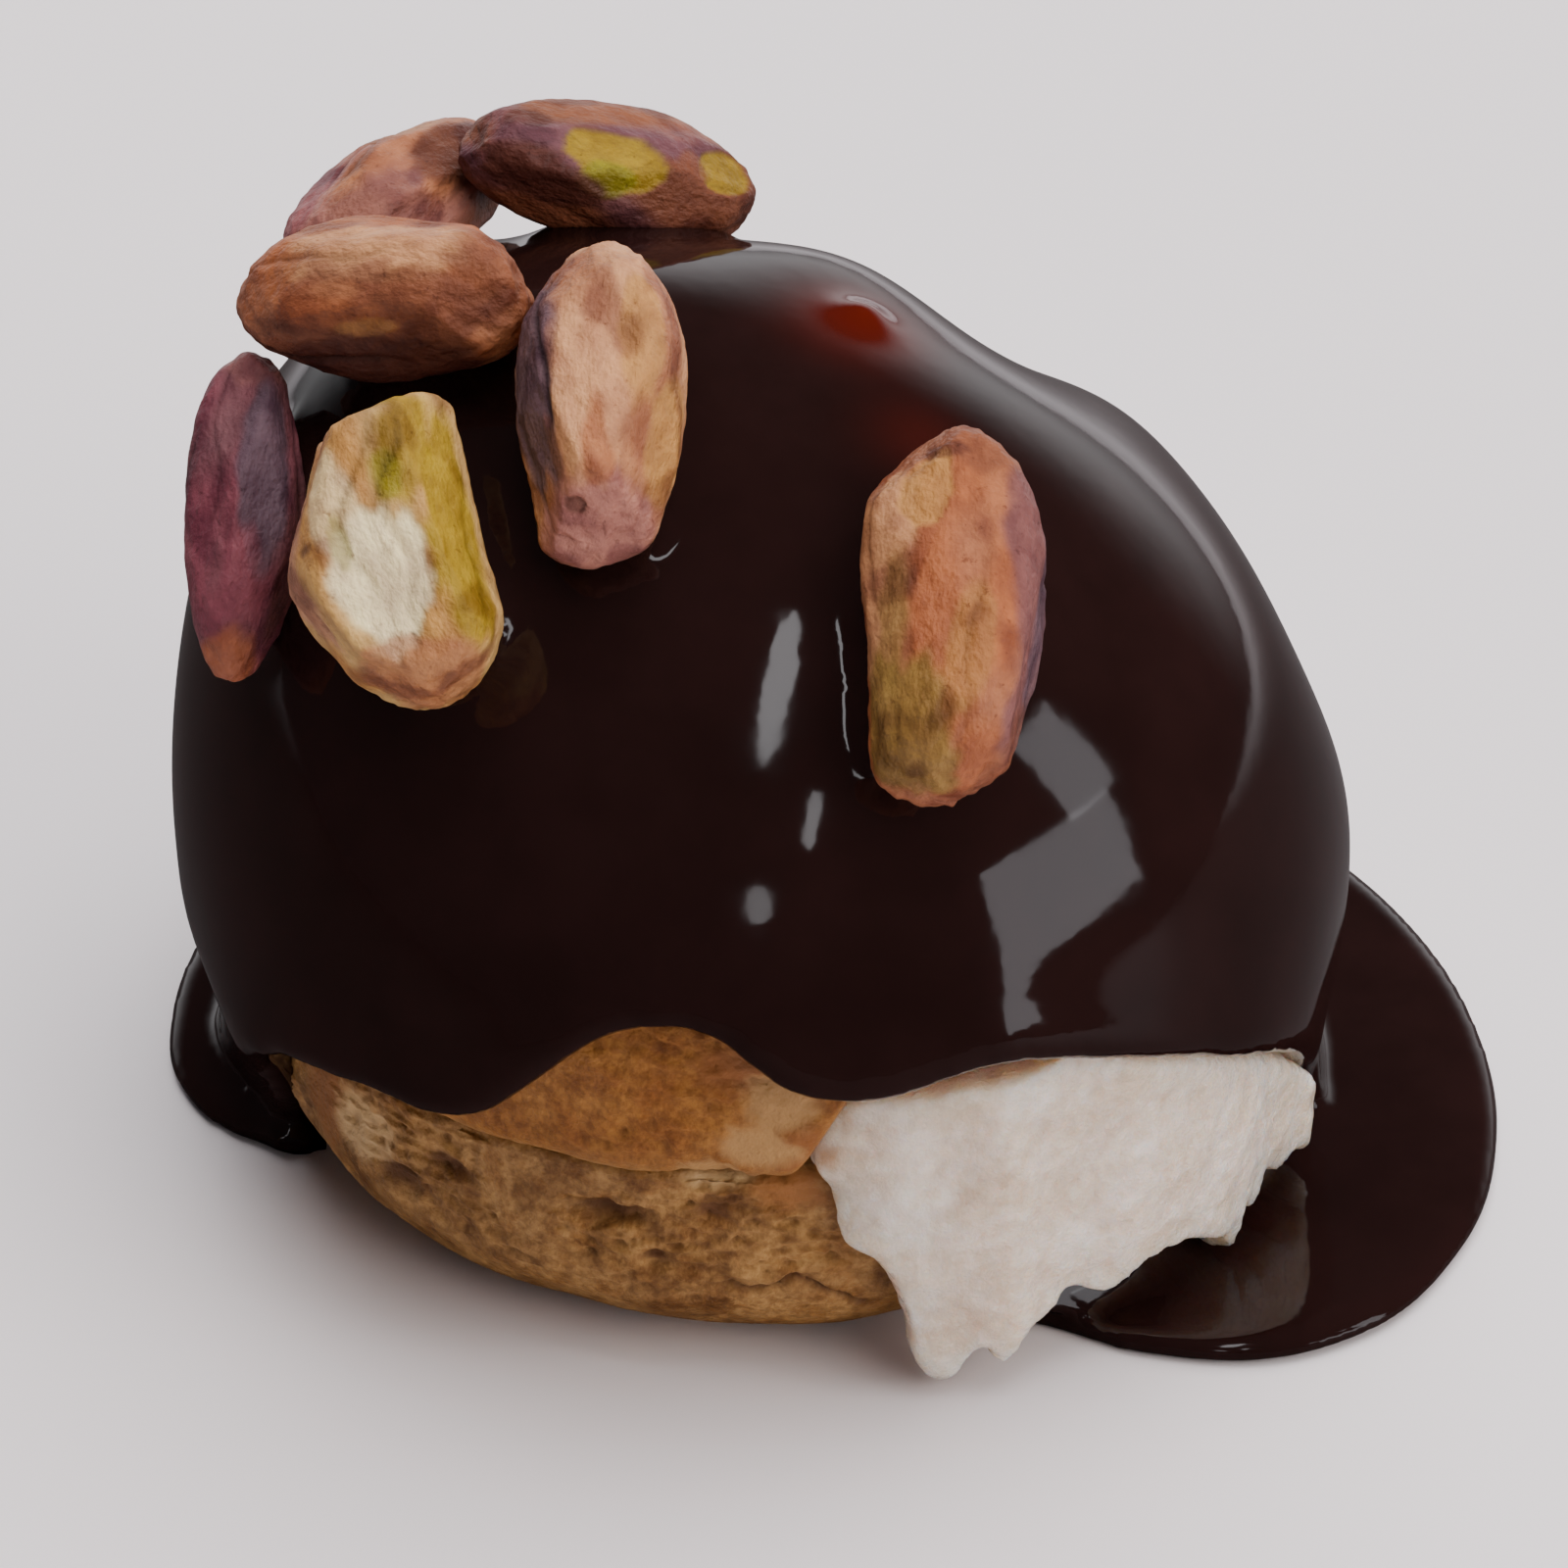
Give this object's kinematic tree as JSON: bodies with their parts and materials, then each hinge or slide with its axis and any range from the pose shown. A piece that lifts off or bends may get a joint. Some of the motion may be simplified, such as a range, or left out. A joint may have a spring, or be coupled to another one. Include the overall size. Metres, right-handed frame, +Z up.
{
  "type": "cream puff",
  "caption": "Round choux bun split and filled with cream, covered in poured dark chocolate sauce with whole pistachio kernels on top.",
  "frame": {"origin": "centre of the flat spot under the bun, on the surface it stands on", "axes": "+Z up, -Y towards the side where the bun and the cream show below the chocolate, +X towards the cream's outer end"},
  "size_m": [0.0558, 0.0517, 0.0428],
  "materials": {
    "crust": "baked choux crust, matt, pale to golden brown",
    "crust_golden": "baked choux crust, golden",
    "cream": "moist off-white cream, slightly glossy and translucent",
    "chocolate": "wet dark chocolate sauce, high gloss",
    "pistachio": "dry papery kernel skin, tan and purple with green patches"
  },
  "bodies": {
    "root": {"base_crust": "crust", "lid_crust": "crust_golden", "cream_filling": "cream", "chocolate_coat": "chocolate", "pistachio_1": "pistachio", "pistachio_2": "pistachio", "pistachio_3": "pistachio", "pistachio_4": "pistachio", "pistachio_5": "pistachio", "pistachio_6": "pistachio", "pistachio_7": "pistachio"}
  },
  "joints": []
}
